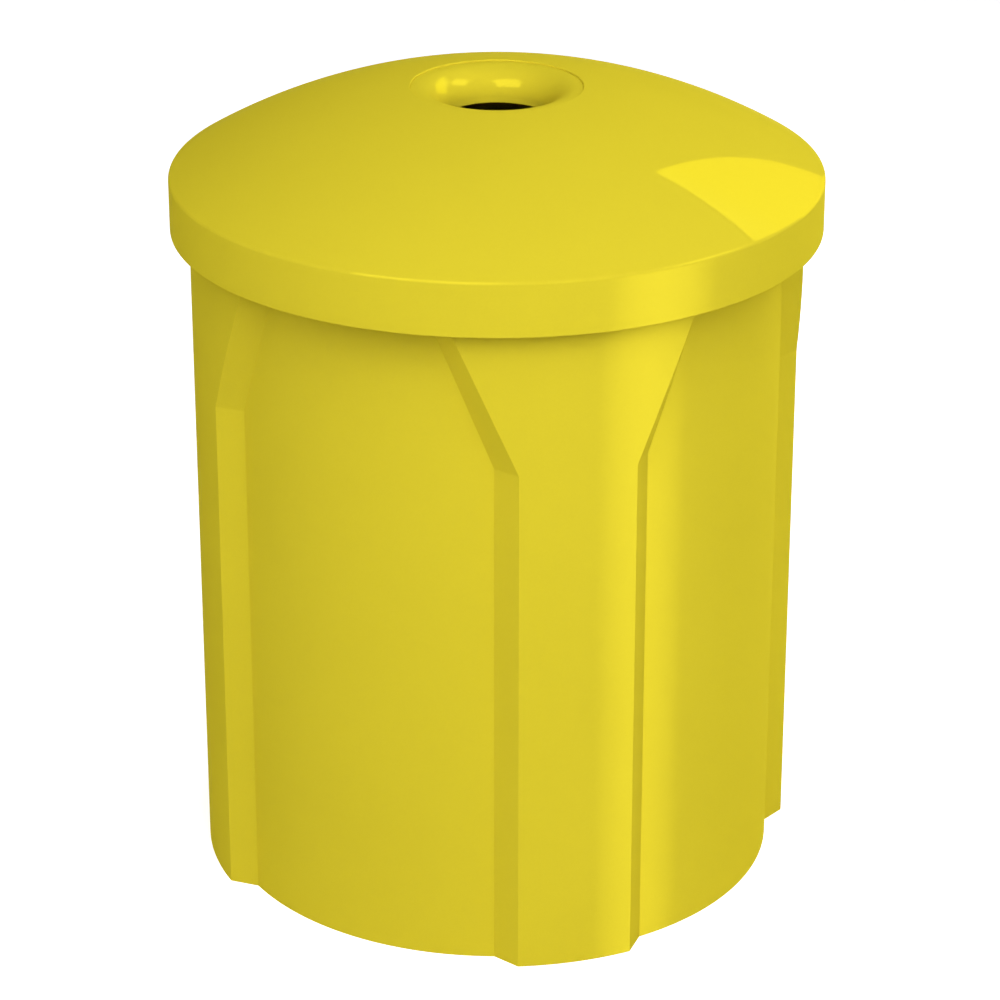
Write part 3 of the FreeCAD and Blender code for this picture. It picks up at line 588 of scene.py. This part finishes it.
def tether_bolt(name, wall, turn, centre):
    """A bolt with a low round head, from outside a wall, with its thread in the eye nut inside.
    It is made upright with the wall's outside at height 0, then turned back to its place."""
    end = -(wall + CURVED_WALL_GAP + WASHER_THICKNESS + NUT_LENGTH)
    flat, rise = BOLT_HEAD_HEIGHT / 3, BOLT_HEAD_HEIGHT * 2 / 3
    radius = (BOLT_HEAD ** 2 + rise ** 2) / (2 * rise)
    spread = math.degrees(math.asin(BOLT_HEAD / radius))
    outline = [(0, end), (BOLT_RADIUS - THREAD_CHAMFER, end), (BOLT_RADIUS, end + THREAD_CHAMFER)]
    outline += [(BOLT_RADIUS, 0), (BOLT_HEAD, 0), (BOLT_HEAD, flat * 0.6)]
    outline += arc((0, BOLT_HEAD_HEIGHT - radius), radius, 90 - spread, 90, BOLT_HEAD_STEPS)
    piece = spun(name, outline, BOLT_COLUMNS)
    piece.data.transform(Matrix.Translation(centre) @ Matrix.Rotation(math.radians(-turn), 4, "X"))
    return shaded(piece)


def tether_bolts():
    """The bolt through the dome and the bolt through the can's wall, both at the back."""
    low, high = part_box("lid_shell")
    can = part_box("outer_can")[1]
    shoulder = low.z + SKIRT_HEIGHT
    reach = high.x - TETHER_INSET
    on_dome = (0, reach, dome_height(reach, shoulder, high.x))
    on_can = (0, can.x - RIM_OVERHANG, can.z - TETHER_DROP)
    tilt = math.degrees(math.asin(reach / DOME_RADIUS))
    return (tether_bolt("lid_bolt", LID_WALL, tilt, on_dome),
            tether_bolt("can_bolt", CAN_WALL, 90, on_can))


# ---------------------------------------------------------------- liner

def half_turned(piece, name):
    """A copy of a piece for the other side, half a turn round."""
    twin = piece.copy()
    twin.name = name
    twin.data = piece.data.copy()
    twin.data.transform(Matrix.Rotation(math.pi, 4, "Z"))
    bpy.context.collection.objects.link(twin)
    return twin


def liner():
    """A tapered bucket with a turned-down rim, and a flat pad inside at each handle."""
    low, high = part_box("liner_bucket")
    rim, top, base = high.x, high.z, low.z
    mouth = rim - LINER_RIM_REACH
    foot = mouth - LINER_TAPER
    slope = LINER_TAPER / (top - base)
    outline = [
        (0, base),
        (foot, base, LINER_FOOT),
        (mouth - LINER_WALL * slope, top - LINER_WALL, LINER_NECK),
        (rim - LINER_WALL, top - LINER_WALL, LINER_RIM_INSIDE),
        (rim - LINER_WALL, top - LINER_RIM_DROP, LINER_RIM_END),
        (rim, top - LINER_RIM_DROP, LINER_RIM_END),
        (rim, top, LINER_RIM),
        (mouth - LINER_WALL, top, LINER_RIM),
        (foot - LINER_WALL * (1 - slope), base + LINER_WALL, LINER_FOOT_INSIDE),
        (0, base + LINER_WALL),
    ]
    piece = shaded(spun("liner", round_corners(outline), LID_COLUMNS))

    face = mouth - PAD_DEPTH
    pad_top = top - PAD_DROP
    in_wall = mouth - slope * (PAD_DROP + PAD_HEIGHT) - LINER_WALL / 2
    spread = math.degrees(math.asin(PAD_HALF_WIDTH / in_wall))
    pad = plate("pad", [(face, PAD_HALF_WIDTH), (face, -PAD_HALF_WIDTH)]
                + arc((0, 0), in_wall, -spread, spread, PAD_STEPS), PAD_HEIGHT)
    pad.data.transform(Matrix.Translation((0, 0, pad_top - PAD_HEIGHT / 2))
                       @ Matrix.Rotation(math.pi / 2, 4, "X"))
    pad = bevelled(pad, PAD_EDGE, 40)
    return joined([piece, pad, half_turned(pad, "pad_twin")])


def handle_loop():
    """A steel rod bent into a closed loop, which hangs from the strap at +X."""
    low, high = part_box("handle_rod_right")
    middle, half = (low.x + high.x) / 2, high.y - ROD_RADIUS
    top, bottom = high.z - ROD_RADIUS, low.z + ROD_RADIUS
    straight = (2 * (half - HANDLE_CORNER), top - bottom - 2 * HANDLE_CORNER)
    select_nothing()
    bpy.ops.mesh.primitive_circle_add(vertices=ROD_SIDES, radius=ROD_RADIUS, fill_type="NOTHING",
                                      location=(middle, HANDLE_CORNER - half, top),
                                      rotation=(math.pi / 2, 0, 0))
    bpy.ops.object.transform_apply(location=True, rotation=True, scale=True)
    piece = bpy.context.object
    piece.name = "handle_loop"
    bpy.ops.object.mode_set(mode="EDIT")
    bpy.ops.mesh.select_all(action="SELECT")
    here, ahead = Vector((middle, HANDLE_CORNER - half, top)), Vector((0, 1, 0))
    for side in range(4):
        run = ahead * straight[side % 2]
        bpy.ops.mesh.extrude_region_move(TRANSFORM_OT_translate={"value": run})
        here += run
        inwards = Vector((0, ahead.z, -ahead.y))
        centre = here + inwards * HANDLE_CORNER
        bpy.ops.mesh.spin(steps=ROD_CORNER_STEPS, angle=math.pi / 2, center=centre, axis=(1, 0, 0))
        here, ahead = centre + ahead * HANDLE_CORNER, inwards
    bpy.ops.mesh.select_all(action="SELECT")
    bpy.ops.mesh.remove_doubles(threshold=0.05 * MM)
    bpy.ops.mesh.normals_make_consistent(inside=False)
    bpy.ops.object.mode_set(mode="OBJECT")
    return shaded(piece, 60)


def handle_sleeve():
    """A vinyl sleeve on the lower run of the loop at +X, with a row of rings to hold it by."""
    low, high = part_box("handle_grip_right")
    centre = (low + high) / 2
    long, radius = (high.y - low.y) / 2, (high.z - low.z) / 2
    bore = ROD_RADIUS + SLEEVE_GAP
    ringed = long - SLEEVE_PLAIN_END
    full = long - SLEEVE_FULL_FROM
    outline = [(bore, -long), (radius - SLEEVE_LIP, -long, SLEEVE_END), (radius, -full, SLEEVE_EDGE)]
    for k in range(SLEEVE_STEPS + 1):
        along = ringed * (2 * k / SLEEVE_STEPS - 1)
        outline.append((radius - GRIP_GROOVE * (1 + math.cos(math.tau * along / GRIP_PITCH)) / 2, along))
    outline += [(radius, full, SLEEVE_EDGE), (radius - SLEEVE_LIP, long, SLEEVE_END), (bore, long)]
    piece = spun("handle_sleeve", round_corners(outline), FITTING_COLUMNS)
    piece.data.transform(Matrix.Translation(centre) @ Matrix.Rotation(math.pi / 2, 4, "X"))
    return shaded(piece, 50)


def rivets():
    """Two rivets through the strap at +X, each with a low round head inside and a flat tail outside."""
    low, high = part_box("strap_rivets_right")
    height = (low.z + high.z) / 2
    long, head = high.x - low.x, (high.z - low.z) / 2
    radius = (head ** 2 + RIVET_HEAD_HEIGHT ** 2) / (2 * RIVET_HEAD_HEIGHT)
    spread = math.degrees(math.asin(min(head / radius, 1)))
    outline = [
        (0, 0),
        (head, 0, RIVET_EDGE),
        (head, RIVET_HEAD_HEIGHT, RIVET_EDGE),
        (RIVET_RADIUS, RIVET_HEAD_HEIGHT),
        (RIVET_RADIUS, long - RIVET_HEAD_HEIGHT),
    ]
    outline += arc((0, long - radius), radius, 90 - spread, 90, RIVET_HEAD_STEPS)
    piece = spun("rivet", round_corners(outline), FITTING_COLUMNS)
    pieces = []
    for side in (high.y - head, low.y + head):
        rivet = piece.copy()
        rivet.data = piece.data.copy()
        rivet.data.transform(Matrix.Translation((high.x, side, height))
                             @ Matrix.Rotation(-math.pi / 2, 4, "Y"))
        bpy.context.collection.objects.link(rivet)
        pieces.append(rivet)
    bpy.data.objects.remove(piece)
    pair = joined(pieces)
    pair.name = "rivets"
    return shaded(pair)


# ---------------------------------------------------------------- studio

CAMERA_TURN = -14.86            # degrees about the object, from straight in front
CAMERA_REACH = 3.4134           # from the object's axis
CAMERA_HEIGHT = 1.8727
CAMERA_PITCH = 23.84            # degrees below level
CAMERA_LENS = 133.5             # millimetres, on a 36 mm sensor
CAMERA_SHIFT = 0.0032
AIR = 0.45                      # strength of the soft light from all round
GLOW = 3.7                      # strength of the glow low on the right
GLOW_TURN = 60                  # degrees to the right of the camera
GLOW_SPREAD = 22                # degrees to each side
GLOW_DEPTH = 0.1                # how far below level it reaches its full strength
FLOOR_GLOW = 0.6
FLOOR_SIZE = 60
LIGHT_AIM = 0.45                # height on the object's axis that the softboxes face
PANEL_TURN = 134.3
PANEL_REACH = 2.82
PANEL_WIDTH = 1.65
PANEL_HEIGHT = 3.29
PANEL_POWER = 66
PANEL_AIM_TURN = 67             # the panel faces a point beside the object
PANEL_AIM_REACH = 1.09

# Softboxes: turn to the right of the camera, reach and height of the middle, width, length, watts
SOFTBOXES = {
    "top_softbox": (0, 2.60, 4.95, 2.8, 2.8, 96),
    "front_softbox": (0, 4.26, 3.43, 2.8, 2.8, 34),
    "front_low_softbox": (5, 4.75, 2.57, 2.8, 2.8, 20),
    "key_softbox": (25, 4.26, 3.43, 2.8, 2.8, 61),
    "right_softbox": (50, 4.26, 3.43, 2.8, 2.8, 30),
    "left_front_softbox": (-26, 4.26, 3.43, 2.8, 2.8, 55),
    "left_softbox": (-100, 5.12, 1.0, 2.8, 2.0, 50),
    "side_softbox": (85, 5.12, 1.35, 2.8, 2.8, 20),
    "back_softbox": (130, 4.26, 3.43, 2.8, 2.8, 16),
    "back_low_softbox": (-165, 5.12, 1.0, 2.8, 2.0, 45),
}
# Cards that only show in the shine
CARDS = {
    "left_front_card": (-26, 3.2, 3.7, 3.6, 2.6, 130),
    "right_card": (92, 3.0, 3.6, 2.3, 1.4, 43),
}


def studio_point(turn, reach, height):
    """A point round the object: turn in degrees to the right of the camera, seen from above."""
    angle = math.radians(CAMERA_TURN + turn)
    return Vector((reach * math.sin(angle), -reach * math.cos(angle), height))


def camera():
    """The view from the front left, a little above the lid."""
    data = bpy.data.cameras.new("camera")
    data.lens = CAMERA_LENS
    data.sensor_width = 36
    data.shift_x = CAMERA_SHIFT
    data.clip_end = FLOOR_SIZE
    shown = bpy.data.objects.new("camera", data)
    shown.location = studio_point(0, CAMERA_REACH, CAMERA_HEIGHT)
    shown.rotation_euler = (math.radians(90 - CAMERA_PITCH), 0, math.radians(CAMERA_TURN))
    bpy.context.collection.objects.link(shown)
    bpy.context.scene.camera = shown


def softbox(name, turn, reach, height, width, tall, power, aim=(0, 0, LIGHT_AIM)):
    """A rectangular light that the camera doesn't see, and the shine only where it is let to."""
    data = bpy.data.lights.new(name, "AREA")
    data.shape = "RECTANGLE"
    data.size = width
    data.size_y = tall
    data.energy = power
    lamp = bpy.data.objects.new(name, data)
    lamp.location = studio_point(turn, reach, height)
    lamp.rotation_euler = (Vector(aim) - lamp.location).to_track_quat("-Z", "Y").to_euler()
    lamp.visible_camera = False
    lamp.visible_glossy = False
    bpy.context.collection.objects.link(lamp)
    return lamp


def floor_plane(name, height, paint, glow):
    """A pale floor that doesn't show in the plastic's shine."""
    select_nothing()
    bpy.ops.mesh.primitive_plane_add(size=FLOOR_SIZE, location=(0, 0, height))
    plane = bpy.context.object
    plane.name = name
    material, _, _, shader = new_material(name + "_paint")
    shader.inputs["Base Color"].default_value = linear(paint)
    shader.inputs["Roughness"].default_value = 0.9
    shader.inputs["Emission Color"].default_value = (1, 1, 1, 1)
    shader.inputs["Emission Strength"].default_value = glow
    plane.data.materials.append(material)
    plane.visible_glossy = False
    return plane


def studio_floor():
    """The floor that is seen is lit from within, so it stays white round the object. The light that
    comes back up to the object is from an unlit one just under it."""
    seen = floor_plane("studio_floor", 0, "#f6f6f5", FLOOR_GLOW)
    seen.visible_diffuse = False
    seen.visible_shadow = False
    bounce = floor_plane("studio_bounce", -MM, "#d8d8d6", 0)
    bounce.visible_camera = False


def studio_air():
    """Soft light from all round, and low on the right a glow that only shows in the plastic's shine."""
    world = bpy.data.worlds.new("studio_air")
    bpy.context.scene.world = world
    world.use_nodes = True
    world.cycles_visibility.diffuse = False
    tree = world.node_tree
    ray = add(tree, "ShaderNodeTexCoord").outputs["Generated"]
    level = add(tree, "ShaderNodeVectorMath", {0: ray, 1: (1, 1, 0)}, operation="MULTIPLY")
    level = add(tree, "ShaderNodeVectorMath", {0: level.outputs["Vector"]}, operation="NORMALIZE")
    towards = add(tree, "ShaderNodeVectorMath", {
        0: level.outputs["Vector"], 1: studio_point(GLOW_TURN, 1, 0),
    }, operation="DOT_PRODUCT").outputs["Value"]
    height = add(tree, "ShaderNodeSeparateXYZ", {"Vector": ray}).outputs["Z"]
    beside = ramp(tree, towards, math.cos(math.radians(GLOW_SPREAD)), 1, 0, 1)
    below = ramp(tree, height, 0, -GLOW_DEPTH, 0, GLOW)
    glow = add(tree, "ShaderNodeMath", {0: beside, 1: below, 2: AIR}, operation="MULTIPLY_ADD")
    sky = tree.nodes["Background"]
    sky.inputs["Color"].default_value = (1, 1, 1, 1)
    tree.links.new(glow.outputs["Value"], sky.inputs["Strength"])


def studio():
    """Floor, air, softboxes, the panel behind that the dome mirrors, and the cards."""
    studio_floor()
    studio_air()
    for name, place in SOFTBOXES.items():
        softbox(name, *place)
    middle = PANEL_HEIGHT / 2
    panel = softbox("back_panel", PANEL_TURN, PANEL_REACH, middle, PANEL_WIDTH, PANEL_HEIGHT, PANEL_POWER,
                    aim=studio_point(PANEL_AIM_TURN, PANEL_AIM_REACH, middle))
    panel.visible_glossy = True
    for name, place in CARDS.items():
        card = softbox(name, *place)
        card.visible_glossy = True
        card.visible_diffuse = False
    bpy.context.scene.view_settings.view_transform = "Standard"


# ---------------------------------------------------------------- the receptacle

def finish_cad(material, *nodes):
    """Gives CAD nodes a finish."""
    for name in nodes:
        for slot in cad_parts[name].material_slots:
            slot.material = material


def receptacle():
    """Makes every piece, and gives the CAD meshes that stay their finish."""
    yellow = moulded_polyethylene("yellow_rotomoulded_polyethylene", "#dfcd31", "#dac82f", 0.02, 0.0,
                                  "#ffe634", 0.07)
    grey = moulded_polyethylene("grey_liner_polyethylene", "#8b8d8c", "#7f8180", 0.38, 0.4, "#ffffff")
    zinc = plated_steel("bright_zinc_plated_steel", "#c9ccce", "#a9adb2", 0.28, 0.5)
    stainless = plated_steel("brushed_stainless_steel", "#bdbcb8", "#9b9a97", 0.24, 0.3)
    vinyl = dipped_vinyl("black_dipped_vinyl", "#17171a", "#2b2b2e")

    def fit(piece, name, node, body, material):
        """Gives a finished piece its name, finish and place among the moving bodies."""
        piece.name = name
        piece.data.name = name
        piece.data.materials.clear()
        piece.data.materials.append(material)
        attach(piece, body)
        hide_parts(node)

    fit(can_body(), "can_body", "outer_can", "can", yellow)
    fit(lid_body(), "lid_body", "lid_shell", "lid", yellow)
    fit(funnel(), "funnel", "funnel_insert", "lid", yellow)
    fit(liner(), "liner", "liner_bucket", "liner", grey)
    lid_bolt, can_bolt = tether_bolts()
    fit(lid_bolt, "lid_bolt", "lid_tether_bolt", "lid", stainless)
    fit(can_bolt, "can_bolt", "can_tether_bolt", "can", stainless)
    sides = ("right", "left")
    for make, name, node, body, slot, material in (
        (handle_loop, "handle_loop", "handle_rod", "handle", "zinc_steel", zinc),
        (handle_sleeve, "handle_sleeve", "handle_grip", "handle", "grip_vinyl", vinyl),
        (rivets, "rivets", "strap_rivets", "liner", "stainless_steel", stainless),
    ):
        piece = make()
        twin = half_turned(piece, name + "_twin")
        for side, half in zip(sides, (piece, twin)):
            rides = f"handle_{side}" if body == "handle" else body
            fit(half, f"{name}_{side}", f"{node}_{side}", rides, material)

    finish_cad(zinc, "anchor_washers", "hinge_strap_right", "hinge_strap_left")
    finish_cad(stainless, "can_tether_washer", "can_tether_eye_nut", "lid_tether_washer",
               "lid_tether_eye_nut", "funnel_screws")


camera()
studio()
receptacle()
